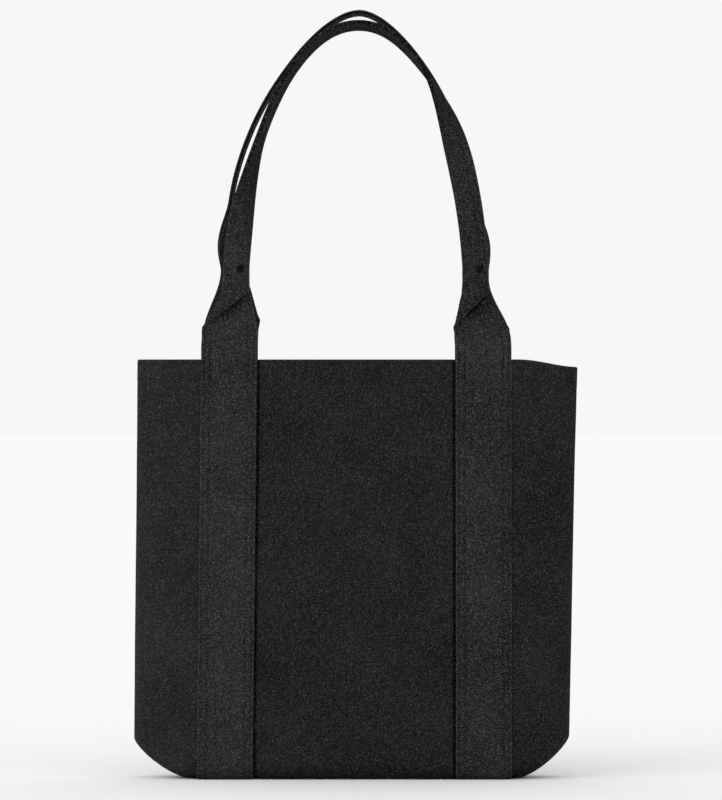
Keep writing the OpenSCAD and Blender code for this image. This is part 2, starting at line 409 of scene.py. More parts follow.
def cloth_half(face):
    """The front half (face 1) or the back half (face -1), as grids from the mouth to the base.

    They are the outer points, the inner points and each point's place on the flat cloth.
    """
    columns = column_places()
    z_rows, insets = row_places()
    rows = []
    for z, inset in zip(z_rows, insets):
        rows.append(section(z, inset, face, columns))
    grid = np.array(rows)
    across = grid[..., 2].copy()
    z = np.repeat(z_rows[:, None], grid.shape[1], 1)
    outer = np.stack([grid[..., 0], -grid[..., 1], z], -1)

    normal = unit(np.cross(np.gradient(outer, axis=0), np.gradient(outer, axis=1)))
    on_base = insets >= ROLL - 1e-6
    normal[on_base] = (0, 0, -1)
    free = smooth(0, 16, np.abs(grid[..., 1])) * smooth(BASE_HALF_D - 1, ROLL, insets)[:, None]
    push = (soft_shape(across, z, face) + small_marks(across, z, face)) * free
    push = push * np.where(on_base, 0.0, 1.0)[:, None]
    push = push * smooth(ROLL, 0, insets)[:, None]
    outer = outer + normal * push[..., None]
    outer = settle(outer, face)

    sizes = bpy.context.scene.tote_sizes
    hem_low = BODY_H - sizes.hem_depth / MM
    thick = sizes.cloth_thickness / MM + HEM_EXTRA * smooth(hem_low - 0.4, hem_low + 0.6, z)
    normal = unit(np.cross(np.gradient(outer, axis=0), np.gradient(outer, axis=1)))
    normal[on_base] = (0, 0, -1)
    inner = outer - normal * thick[..., None]
    down = np.concatenate([[0], np.cumsum(np.abs(np.diff(z_rows)) + np.abs(np.diff(insets)))])
    cloth = np.stack([across, np.repeat(BODY_H - down[:, None], grid.shape[1], 1), z * 0], -1)
    return outer, inner, cloth


def turn_to_face(points, face):
    return points * np.array([face, face, 1.0])


def sew_half(name, face):
    """One cut piece of the body: outer face, rounded mouth with its turned hem, inner face."""
    outer, inner, cloth = cloth_half(face)
    rows, columns = outer.shape[:2]
    middle = (outer[0] + inner[0]) / 2
    arm = (outer[0] - inner[0]) / 2
    radius = np.linalg.norm(arm, axis=-1, keepdims=True)
    up = np.array([0, 0, 1.0])
    rim = []
    for angle in (45, 90, 135):
        a = math.radians(angle)
        rim.append(middle + arm * math.cos(a) + up * radius * math.sin(a) - up * radius)
    outer[0] = outer[0] - up * radius
    inner[0] = inner[0] - up * radius
    outer[1:3, :, 2] = np.minimum(outer[1:3, :, 2], outer[0, :, 2] - np.array([[0.7], [1.4]]))
    inner[1:3, :, 2] = np.minimum(inner[1:3, :, 2], inner[0, :, 2] - np.array([[0.7], [1.4]]))
    path = np.concatenate([outer[::-1], np.array(rim), inner])
    rim_cloth = np.repeat(cloth[:1], 3, 0)
    inner_cloth = cloth + np.array([0, 500.0, 0])
    cloth_all = np.concatenate([cloth[::-1], rim_cloth, inner_cloth])
    wear = np.concatenate([
        np.zeros((rows - 1, columns)), np.full((1, columns), 0.4), np.full((3, columns), 0.7),
        np.full((1, columns), 0.4), np.zeros((rows - 1, columns)),
    ])
    # Painted shade: the cloth is darkened in the narrow groove beside each strap's inner edge.
    for side in (-1, 1):
        groove = strap_middle(cloth[..., 1].clip(0, BODY_H), side, face)
        groove = groove - side * (STRAP_HALF + GROOVE_OUT)
        wear[:rows] -= hump(cloth[..., 0] - groove, 1.3)[::-1]
    # Painted light: the front's left side is lighter, as light falls from the left.
    painted_left_light = 0.45 * smooth(-112, -140, cloth[..., 0]) if face > 0 else 0.0
    # Painted shade: darker towards the bottom, where the cloth rolls under to the base.
    painted_base_shade = 0.5 * smooth(16, 3, cloth[..., 1])
    wear[:rows] += (painted_left_light - painted_base_shade)[::-1]
    total = len(path)
    faces = grid_faces(total, columns)
    for k in range(rows):
        mirror = total - 1 - k
        for c, order in ((0, 1), (columns - 1, -1)):
            quad = (k * columns + c, (k + 1) * columns + c,
                    (mirror - 1) * columns + c, mirror * columns + c)
            faces.append(quad if order > 0 else quad[::-1])
    last = (total - 1) * columns
    for c in range(columns - 1):
        faces.append((c + 1, c, last + c, last + c + 1))
    points = turn_to_face(path.reshape(-1, 3), face)
    return make_mesh(
        name, points, [f[::-1] for f in faces],
        cloth=cloth_all.reshape(-1, 3) * MM, wear=wear.ravel(),
    )


# Shape of the straps ---------------------------------------------------------------------

HANDLE_LEAN = 7.5       # how far the crown leans in from the mouth
LEG_TOP = LEG_HIGH[2] / MM
STRAP_STEP = 2.0        # distance between stations
STRAP_CLEAR = 0.15      # gap between a strap and the cloth under it
STRAP_OUT = 1.1         # distance of a handle's middle line from the mouth's outer face
OPEN_FOLD = 2.2         # radius of the fold where the strap is still flat
SHUT_FOLD = 0.95        # the same where it is folded in half
ROWS = (16.4, 21.5)     # distances of the two rows of thread from the strap's middle
ALL_ROWS = (-21.5, -16.4, 16.4, 21.5)
STRAP_SHIFT = 0.5       # how much further out a strap lies than its plain CAD solid


# Each handle as seen from its own face. The pairs are for its left and right leg: half width
# at the fold, spread of the leg's curve, the heights where it turns and where it closes.
ARCHES = {
    1: dict(rise=288.0, foot=(103.0, 103.0), spread=(-6.0, -6.0), reach_up=107.0,
            crown_reach=57.0, crown_x=2.0, turns=((0.22, 0.7), (0.5, 0.95)), crown_turn=79.0,
            closes=((0.22, 0.87), (0.22, 0.87))),
    -1: dict(rise=300.0, foot=(103.0, 106.5), spread=(18.0, 23.0), reach_up=101.0,
             crown_reach=40.0, crown_x=-2.0, turns=((0.265, 0.46), (0.265, 0.46)), crown_turn=90.0,
             closes=((0.22, 0.87), (0.3, 1.0))),
}


# Painted shade darkens the crown, where the turned strap faces down into shade: how much
# on each handle, and between which shares of its rise on its left and right side
CROWN_SHADE_DEPTH = {1: 0.9, -1: 0.2}
CROWN_SHADE_SPAN = ((0.38, 0.62), (0.62, 0.86))
STRAP_SIDE_LIGHT = (0.16, -0.06)  # painted light and shade: how much lighter its left half and darker its right half


def leg_index(side):
    return 0 if side < 0 else 1


def arch_curve(shape, side, t):
    """A handle's curve from one fold (t is 0) to the crown (t is 1), as x and height."""
    foot = shape["foot"][leg_index(side)]
    spread = shape["spread"][leg_index(side)]
    top = BODY_H + shape["rise"]
    p = np.array([
        [side * foot, LEG_TOP],
        [side * (foot + spread), LEG_TOP + shape["reach_up"]],
        [shape["crown_x"] + side * shape["crown_reach"], top],
        [shape["crown_x"], top],
    ])
    t = np.asarray(t)[..., None]
    return ((1 - t) ** 3 * p[0] + 3 * t * (1 - t) ** 2 * p[1]
            + 3 * t**2 * (1 - t) * p[2] + t**3 * p[3])


def handle_y(shape, z):
    """Depth of a handle's middle line: it leans in from the strap to the crown."""
    return -half_depth(BODY_H) - STRAP_OUT + HANDLE_LEAN * (z - BODY_H) / shape["rise"]


def spaced(points, step):
    """Points along a curve at even distances."""
    run = np.concatenate([[0], np.cumsum(np.linalg.norm(np.diff(points, axis=0), axis=1))])
    count = max(2, int(round(run[-1] / step)) + 1)
    want = np.linspace(0, run[-1], count)
    return np.stack([np.interp(want, run, points[:, k]) for k in range(points.shape[1])], -1)


def station(middle, front, width, fold=0.0, radius=OPEN_FOLD, wall=0.0, toward=(1.0, 0, 0)):
    """One place along a strap, where its section is drawn.

    It has its middle, the direction off the front, the outline's width, the fold's share and
    radius, how far it follows the wall, and the direction toward the open edges.
    """
    return dict(middle=np.array(middle, float), front=np.array(front, float), width=width,
                fold=fold, radius=radius, wall=wall, open=np.array(toward, float))


def half_strap(side, face):
    """Stations from the middle of the base up the wall and the leg to the crown."""
    shape = ARCHES[face]
    leg = leg_index(side)
    thick = bpy.context.scene.tote_sizes.strap_thickness / MM
    off = STRAP_CLEAR + thick / 2
    stations = []
    width = 2 * STRAP_HALF
    centre_y = -(BASE_HALF_D - ROLL)
    under = [(-y, FLOOR_GAP - off, (0, 0, -1)) for y in np.arange(0.25, -centre_y, STRAP_STEP)]
    for angle in np.radians(np.arange(0, 90, 10)):
        under.append((
            centre_y - (ROLL + off) * math.sin(angle),
            FLOOR_GAP + ROLL - (ROLL + off) * math.cos(angle),
            (0, -math.sin(angle), -math.cos(angle)),
        ))
    for y, z, front in under:
        wall = float(smooth(FLOOR_GAP - off + 3, FLOOR_GAP + ROLL, z))
        stations.append(station((strap_middle(0.0, side, face), y, z), front, width, wall=wall))
    for z in np.arange(FLOOR_GAP + ROLL, BODY_H + 0.2, STRAP_STEP):
        middle = (strap_middle(z, side, face), -half_depth(z) - off, z)
        stations.append(station(middle, (0, -1, 0), width, wall=1.0))
    handle_w = bpy.context.scene.tote_sizes.handle_width / MM
    for z in np.arange(BODY_H + STRAP_STEP, LEG_TOP - 0.5, STRAP_STEP):
        share = (z - BODY_H) / (LEG_TOP - BODY_H)
        x = side * mix(STRAP_X + STRAP_SHIFT, shape["foot"][leg], float(smooth(0.1, 0.9, share)))
        closing = float(smooth(*shape["closes"][leg], share))
        stations.append(station(
            (x, handle_y(shape, z), z), (0, -1, 0), mix(width, handle_w, closing), closing,
            SHUT_FOLD + 1.5 * float(hump(share - 0.42, 0.2)), float(smooth(0.28, 0.0, share)),
        ))
    flat = arch_curve(shape, side, np.linspace(0, 1, 400))
    curve = np.stack([flat[:, 0], handle_y(shape, flat[:, 1]), flat[:, 1]], -1)
    curve = spaced(curve, STRAP_STEP)
    tangents = unit(np.gradient(curve, axis=0)) * -side
    for here, along in zip(curve, tangents):
        outward = unit(np.cross(along, [0, 1.0, 0]))
        backward = np.cross(outward, along)
        share = (here[2] - BODY_H) / shape["rise"]
        turned = float(smooth(*shape["turns"][leg], share))
        if side < 0:
            turn = math.radians(mix(0.0, shape["crown_turn"], turned))
        else:
            turn = math.radians(mix(180.0, shape["crown_turn"], turned))
        fold_edge = math.cos(turn) * outward - math.sin(turn) * backward
        face_out = np.cross(fold_edge, along)
        front = face_out if side > 0 else -face_out
        stations.append(station(here, front, handle_w, 1.0, SHUT_FOLD, toward=-fold_edge))
    return stations


def strap_places():
    """Places across the strap, from -24 at the edge that folds over to 24 at the other."""
    fine = [0.0, 0.4, 0.8, 1.2, 1.7, 2.4, 3.2]
    coarse = list(np.arange(4.2, 15.0, 1.35))
    rows = [15.0, 15.7, 16.4, 17.1, 17.9, 19.2, 20.4, 20.9, 21.5, 22.1, 22.7, 23.4, 24.0]
    half = np.array(fine + coarse + rows)
    return np.concatenate([-half[:0:-1], half])


def strap_section(place, station):
    """The strip's middle line across one station, as distance to the open side and forward."""
    width, radius, fold = station["width"], station["radius"], station["fold"]
    # One edge folded over the front, as on a leg
    start = STRAP_HALF - width + radius * float(smooth(48, 42, width))
    bent = np.clip((start - place) / radius, 0, math.pi)
    past = np.maximum(start - place - math.pi * radius, 0)
    x = np.where(place >= start, place, start - radius * np.sin(bent) + past)
    d = radius * (1 - np.cos(bent))
    d = d + 1.5 * smooth(2, 16, past) * (1 - fold)
    # Both edges brought together, as on the handle
    tight = SHUT_FOLD
    away = np.abs(place)
    bend = np.minimum(away / tight, math.pi / 2)
    straight = np.maximum(away - math.pi * tight / 2, 0)
    stretch = (width - tight) / (STRAP_HALF - math.pi * tight / 2)
    sym_x = STRAP_HALF - width + tight * (1 - np.cos(bend)) + straight * stretch
    sym_d = tight * np.sin(bend) * np.where(place < 0, 1.0, -1.0)
    shut = float(smooth(27.5, 23.5, width))
    centre = radius * float(smooth(46, 30, width))
    x = mix(x, sym_x, shut)
    d = mix(d - centre, sym_d, shut)
    # Sewn together along the groove, and apart again at the edges
    groove = hump(x - (STRAP_HALF - 8.5), 1.5)
    flare = smooth(STRAP_HALF - 6.5, STRAP_HALF, x)
    d = mix(d, d * (1 - 0.42 * groove + 0.45 * flare), shut)
    return x - STRAP_HALF + width / 2, d


def strap_grids(face):
    """Points of both faces of the strap as arrays [station, place, xyz], with the distance
    along it, the places across it and its stations."""
    thick = bpy.context.scene.tote_sizes.strap_thickness / MM
    place = strap_places()
    left = half_strap(-1, face)
    right = half_strap(1, face)
    stations = [(s, 1) for s in left] + [(s, -1) for s in right[-2::-1]]
    middles = np.array([s["middle"] for s, _ in stations])
    run = np.concatenate([[0], np.cumsum(np.linalg.norm(np.diff(middles, axis=0), axis=1))])
    wobble = rough_line(run, 46.0, 21 + face)
    edge = [rough_line(run, 24.0, 31 + face), rough_line(run, 24.0, 41 + face)]
    faces_front, faces_back = [], []
    for i, (s, sense) in enumerate(stations):
        q = place * sense
        x, d = strap_section(q, s)
        x = x + 0.28 * np.where(q > 0, edge[0][i], edge[1][i]) * smooth(8, 24, np.abs(q))
        middle = s["middle"] + s["front"] * 0.35 * wobble[i] * s["fold"]
        if s["wall"] > 0:
            z = max(s["middle"][2], FLOOR_GAP + ROLL)
            there = wall_out(middle[0] + x, np.full_like(x, min(z, BODY_H)), face)
            d = d + (there - half_depth(min(z, BODY_H))) * s["wall"]
        tx, td = np.gradient(x, q), np.gradient(d, q)
        length = np.hypot(tx, td)
        nx, nd = -td / length, tx / length
        valley = 0.0
        for row in (16.0, 21.5):
            valley = valley + hump(np.abs(q) - row, 0.75)
        edge_round = np.sqrt(np.clip(1 - np.clip((np.abs(q) - 23.3) / 0.7, 0, 1) ** 2, 0, 1))
        half_thick = thick / 2 * (1 - 0.34 * valley) * (0.3 + 0.7 * edge_round)
        for store, sign in ((faces_front, 1), (faces_back, -1)):
            px, pd = x + sign * nx * half_thick, d + sign * nd * half_thick
            store.append(middle + px[:, None] * s["open"] + pd[:, None] * s["front"])
    return np.array(faces_front), np.array(faces_back), run, place, stations


def strap_shade(face, place, stations):
    """Painted shade under the edge of the fold on each leg and on the crown, and painted light on
    the strap's left half with painted shade on its right half.
    """
    shade = []
    half = len(stations) // 2
    for i, (s, sense) in enumerate(stations):
        q = place * sense
        x, _ = strap_section(q, s)
        edge = x[int(q.argmin())]  # the edge of the flap that folds over
        # Painted shade on the cloth just past the edge of the folded-over flap, while the leg
        # folds.
        closing = 4 * s["fold"] * (1 - s["fold"])
        under = (hump(x - edge - 1.0, 3.4) + 0.5 * hump(x - edge - 7, 8.0)) * (q > -6)
        height = (s["middle"][2] - BODY_H) / ARCHES[face]["rise"]
        # Painted shade on the crown, where the turned strap faces down.
        painted_crown_shade = CROWN_SHADE_DEPTH[face] * float(smooth(*CROWN_SHADE_SPAN[0 if i < half else 1], height))
        # Painted light on the strap's left half and painted shade on its right half.
        painted_side_light = STRAP_SIDE_LIGHT[0 if i < half else 1]
        row = painted_side_light - 1.2 * under * closing - painted_crown_shade
        shade.append(np.concatenate([row, np.full(len(place), painted_side_light - painted_crown_shade)]))
    return np.array(shade)


def sew_strap(name, face, grids):
    """One continuous strap: up one side of the body, over as the handle, down the other."""
    front, back, run, place, stations = grids
    ring = np.concatenate([front, back[:, ::-1]], axis=1)
    count, around = ring.shape[:2]
    faces = grid_faces(count, around, closed=True)
    faces.append(tuple(range(around))[::-1])
    faces.append(tuple((count - 1) * around + k for k in range(around)))
    across = np.concatenate([place, place[::-1] + 90.0])
    cloth = np.stack(np.broadcast_arrays(across[None, :], run[:, None], 0.0), -1)
    away = np.abs(np.concatenate([place, place[::-1]]))
    wear = 0.75 * smooth(22.3, 23.8, away)
    # Painted shade: the cloth is darker along the stitch rows, in the valleys the thread pulls in.
    for row in ROWS:
        wear = wear - 0.9 * hump(away - row, 0.7)
    wear = np.repeat(wear[None, :], count, 0) + strap_shade(face, place, stations)
    points = turn_to_face(ring.reshape(-1, 3), face)
    return make_mesh(
        name, points, faces, cloth=cloth.reshape(-1, 3) * MM, wear=wear.ravel(),
    )


# Stitches --------------------------------------------------------------------------------


# One stitch from end to end: share of its length, share of its width, height off the cloth
STITCH_RINGS = ((-0.5, 0.45, -0.22), (-0.22, 1.0, 0.1), (0.22, 1.0, 0.1), (0.5, 0.45, -0.22))
STITCH_SIDES = 6


class Stitches:
    """Collects stitches and makes them one mesh."""

    def __init__(self, seed, tone=0.0):
        self.draw = np.random.default_rng(seed)
        self.middle_tone = tone
        self.verts, self.faces, self.tone = [], [], []

    def add(self, centre, along, off, length=1.5, width=None, height=0.5):
        if width is None:
            width = bpy.context.scene.tote_sizes.thread_width / MM
        along, off = unit(along), unit(off)
        across = np.cross(off, along)
        slant = self.draw.normal(0.07, 0.05)
        along = unit(along + across * slant)
        across = np.cross(off, along)
        length = length * self.draw.uniform(0.9, 1.06)
        base = len(self.verts)
        around, rings = STITCH_SIDES, len(STITCH_RINGS)
        for share, girth, lift in STITCH_RINGS:
            middle = centre + along * share * length + off * lift * height
            for k in range(around):
                a = k / around * 2 * math.pi
                self.verts.append(
                    middle + across * math.cos(a) * width / 2 * girth
                    + off * math.sin(a) * height / 2 * girth
                )
        for r in range(rings - 1):
            for k in range(around):
                a = base + r * around + k
                b = base + r * around + (k + 1) % around
                self.faces.append((a, b, b + around, a + around))
        last = base + (rings - 1) * around
        self.faces.append(tuple(base + k for k in range(around))[::-1])
        self.faces.append(tuple(last + k for k in range(around)))
        self.tone += [self.middle_tone + self.draw.uniform(-1, 1) ** 3] * (rings * around)

    def make(self, name, face):
        points = turn_to_face(np.array(self.verts), face)
        return make_mesh(name, points, self.faces, tone=self.tone)


def on_grid(grid, row, place_index):
    """A point, the direction along and the direction off a grid of points, at a real row."""
    low = int(np.clip(math.floor(row), 1, len(grid) - 3))
    share = row - low
    here = mix(grid[low, place_index], grid[low + 1, place_index], share)
    along = grid[low + 1, place_index] - grid[low, place_index]
    left = max(place_index - 1, 0)
    right = min(place_index + 1, grid.shape[1] - 1)
    across = grid[low, right] - grid[low, left]
    return here, along, across


def stitch_strap_rows(thread, grid, run, place, begin, end, sign=1):
    """Rows of stitches along one face of the strap, between two distances along it."""
    pitch = bpy.context.scene.tote_sizes.stitch_pitch / MM
    for row in ALL_ROWS:
        index = int(np.abs(place - row).argmin())
        for along_run in np.arange(begin, end, pitch):
            where = float(np.interp(along_run, run, np.arange(len(run))))
            here, along, across = on_grid(grid, where, index)
            off = unit(np.cross(across, along)) * sign
            thread.add(here + off * 0.06, along, off)


def strap_runs(run, stations):
    """A function of side and height that gives the distance along the strap."""
    z = np.array([s["middle"][2] for s, _ in stations])
    half = len(z) // 2
    flat = 10
    up, down = np.arange(flat, half), np.arange(half, len(z) - flat)

    def at(indices, height):
        order = indices[np.argsort(z[indices])]
        return float(np.interp(height, z[order], run[order]))

    return lambda side, height: at(up if side < 0 else down, height)


def stitch_walls(face, grids):
    """Twin rows on both straps of one face, from the floor up to the boxed crosses."""
    front, _, run, place, stations = grids
    find = strap_runs(run, stations)
    thread = Stitches(11 + face)
    low, high = FLOOR_GAP + 6, MOUTH_ROW_Z - 1
    stitch_strap_rows(thread, front, run, place, find(-1, low), find(-1, high))
    stitch_strap_rows(thread, front, run, place, find(1, high), find(1, low))
    return thread


def stitch_crosses(face, grids):
    """A boxed cross that holds the top of each strap to the hem."""
    front, _, run, place, stations = grids
    find = strap_runs(run, stations)
    thread = Stitches(15 + face, tone=-0.6)
    pitch = bpy.context.scene.tote_sizes.stitch_pitch / MM
    half_w, low, high = 21.0, MOUTH_ROW_Z, BODY_H - 3.0
    corners = [(-half_w, low), (half_w, low), (half_w, high), (-half_w, high)]
    lines = [(corners[i], corners[(i + 1) % 4]) for i in range(4)]
    lines += [(corners[0], corners[2]), (corners[1], corners[3])]
    for side in (-1, 1):
        for (q0, z0), (q1, z1) in lines:
            length = math.hypot(q1 - q0, z1 - z0)
            for distance in np.arange(pitch / 2, length, pitch):
                t = distance / length
                points = []
                for shift in (-0.4, 0.4):
                    u = t + shift / length
                    where = np.interp(find(side, mix(z0, z1, u)), run, np.arange(len(run)))
                    low_row = int(where)
                    q = mix(q0, q1, u)
                    pair = []
                    for r in (low_row, low_row + 1):
                        pair.append([np.interp(q, place, front[r, :, k]) for k in range(3)])
                    points.append(mix(np.array(pair[0]), np.array(pair[1]), where - low_row))
                here = (points[0] + points[1]) / 2
                off = np.array([0, -1.0, 0])
                thread.add(here + off * 0.12, points[1] - points[0], off)
    return thread


def stitch_handle(face, grids):
    """Twin rows along the edges of the strap, up the legs and round the folded handle."""
    front, back, run, place, stations = grids
    find = strap_runs(run, stations)
    thread = Stitches(19 + face)
    low, high = BODY_H + 3, LEG_TOP - 4
    stitch_strap_rows(thread, front, run, place, find(-1, low), find(-1, high))
    stitch_strap_rows(thread, front, run, place, find(1, high), find(1, low))
    stitch_strap_rows(thread, back, run, place, find(-1, low), find(1, low), sign=-1)
    return thread


def stitch_bars(face, grids):
    """Close stitches that end the groove at the bottom of each fold, on both faces."""
    _, back, run, place, stations = grids
    find = strap_runs(run, stations)
    thread = Stitches(23 + face, tone=-2.2)
    for side in (-1, 1):
        where = float(np.interp(find(side, LEG_TOP - 1), run, np.arange(len(run))))
        for row in (-15.7, 15.7):
            index = int(np.abs(place - row).argmin())
            here, along, across = on_grid(back, where, index)
            off = -unit(np.cross(across, along))
            across = unit(across)
            for shift in np.arange(-2.4, 2.5, 0.6):
                centre = here + unit(along) * shift + off * 0.55
                thread.add(centre, across, off, length=7.5, width=0.7, height=0.9)
    return thread


def stitch_mouth():
    """The row that holds the hem, between and beside the straps and across both sides."""
    thread = Stitches(29, tone=-1.0)
    pitch = bpy.context.scene.tote_sizes.stitch_pitch / MM
    for face in (1, -1):
        outer, _, cloth = cloth_half(face)
        row = int(np.abs(cloth[:, 0, 1] - MOUTH_ROW_Z).argmin())
        line, above = outer[row], outer[row - 1]
        normal = unit(np.cross(outer[row + 1] - above, np.gradient(line, axis=0)))
        arc = np.concatenate([[0], np.cumsum(np.linalg.norm(np.diff(line, axis=0), axis=1))])
        for distance in np.arange(pitch, arc[-1] - pitch, pitch):
            here = np.array([np.interp(distance, arc, line[:, k]) for k in range(3)])
            ahead = np.array([np.interp(distance + 0.5, arc, line[:, k]) for k in range(3)])
            covered = any(
                abs(here[0] - strap_middle(MOUTH_ROW_Z, side, face)) < STRAP_HALF + 0.6
                and abs(here[1]) > 10 for side in (-1, 1)
            )
            if covered:
                continue
            off = np.array([np.interp(distance, arc, normal[:, k]) for k in range(3)])
            turned = turn_to_face(np.array([here, ahead, off]), face)
            thread.add(turned[0] + turned[2] * 0.1, turned[1] - turned[0], turned[2])
    return thread


# Tapes inside ----------------------------------------------------------------------------


TAPE_STEP = 2.5


def ribbon(name, middles, across, off, half, thick, seed):
    """A flat tape with rounded edges through a line of middles."""
    places = np.array([-1, -0.96, -0.85, -0.6, -0.3, 0, 0.3, 0.6, 0.85, 0.96, 1.0])
    crown = np.sqrt(np.clip(1 - places**6, 0.05, 1))
    across, off = unit(across), unit(off)
    waver = rough_line(np.arange(len(middles)) * TAPE_STEP, 18.0, seed)[:, None, None] * 0.3
    rings = []
    for sign in (1, -1):
        width = middles[:, None, :] + across[:, None, :] * (places * half)[None, :, None]
        lift = off[:, None, :] * (sign * thick / 2 * crown)[None, :, None]
        rings.append(width + lift + off[:, None, :] * waver)
    ring = np.concatenate([rings[0], rings[1][:, ::-1]], axis=1)
    count, around = ring.shape[:2]
    faces = grid_faces(count, around, closed=True)
    faces.append(tuple(range(around))[::-1])
    faces.append(tuple((count - 1) * around + k for k in range(around)))
    q = np.concatenate([places * half, places[::-1] * half + 40])
    run = np.arange(count)[:, None] * TAPE_STEP
    cloth = np.stack(np.broadcast_arrays(q[None, :], run, 0.0), -1)
    wear = np.repeat(np.concatenate([places**4, places[::-1] ** 4])[None, :] * 0.5, count, 0)
    return make_mesh(
        name, ring.reshape(-1, 3), faces, cloth=cloth.reshape(-1, 3) * MM, wear=wear.ravel()
    )


def side_seam_line(side):
    """The middle line of the tape over a side seam, just inside the cloth."""
    z = np.arange(44, BODY_H - 22, TAPE_STEP)
    inside = 2.5
    x = side * (half_width(z, np.full_like(z, side)) - seam_tuck(z) - inside)
    droop = 7.0 * smooth(BODY_H - 110, BODY_H, z) if side > 0 else 0.0
    return np.stack([x, 0 * z, z - droop], -1)


# Materials -------------------------------------------------------------------------------


class Nodes:
    """Short ways to add and link shader nodes."""

    def __init__(self, name):
        self.material = bpy.data.materials.new(name)
        self.material.use_nodes = True
        self.tree = self.material.node_tree
        self.tree.nodes.clear()
        self.out = self.tree.nodes.new("ShaderNodeOutputMaterial")
        self.shader = self.tree.nodes.new("ShaderNodeBsdfPrincipled")
        self.link(self.shader.outputs[0], self.out.inputs[0])

    def link(self, a, b):
        self.tree.links.new(a, b)

    def attribute(self, name):
        node = self.tree.nodes.new("ShaderNodeAttribute")
        node.attribute_name = name
        return node

    def math(self, operation, a, b=None, c=None):
        node = self.tree.nodes.new("ShaderNodeMath")
        node.operation = operation
        for k, value in enumerate((a, b, c)):
            if value is None:
                continue
            if isinstance(value, (int, float)):
                node.inputs[k].default_value = value
            else:
                self.link(value, node.inputs[k])
        return node.outputs[0]

    def scaled(self, vector, factors):
        node = self.tree.nodes.new("ShaderNodeVectorMath")
        node.operation = "MULTIPLY"
        self.link(vector, node.inputs[0])
        node.inputs[1].default_value = factors
        return node.outputs[0]

    def noise(self, vector, scale, detail=2.0, roughness=0.5):
        node = self.tree.nodes.new("ShaderNodeTexNoise")
        self.link(vector, node.inputs["Vector"])
        node.inputs["Scale"].default_value = scale
        node.inputs["Detail"].default_value = detail
        node.inputs["Roughness"].default_value = roughness
        return node.outputs["Fac"]

    def squares(self, vector, size):
        """A random value from 0 to 1 for each square of a size."""
        place = self.tree.nodes.new("ShaderNodeVectorMath")
        place.operation = "FLOOR"
        self.link(self.scaled(vector, (1 / size, 1 / size, 0)), place.inputs[0])
        node = self.tree.nodes.new("ShaderNodeTexWhiteNoise")
        node.noise_dimensions = "2D"
        self.link(place.outputs[0], node.inputs["Vector"])
        return node.outputs["Value"]

    def spread(self, value, low, high, to_low, to_high):
        node = self.tree.nodes.new("ShaderNodeMapRange")
        self.link(value, node.inputs[0])
        for k, number in enumerate((low, high, to_low, to_high)):
            node.inputs[k + 1].default_value = number
        return node.outputs[0]

    def tinted(self, colour, factor):
        node = self.tree.nodes.new("ShaderNodeVectorMath")
        node.operation = "SCALE"
        node.inputs[0].default_value = colour
        self.link(factor, node.inputs["Scale"])
        return node.outputs[0]

    def bump(self, height, strength, distance):
        node = self.tree.nodes.new("ShaderNodeBump")
        node.inputs["Strength"].default_value = strength
        node.inputs["Distance"].default_value = distance
        self.link(height, node.inputs["Height"])
        self.link(node.outputs[0], self.shader.inputs["Normal"])


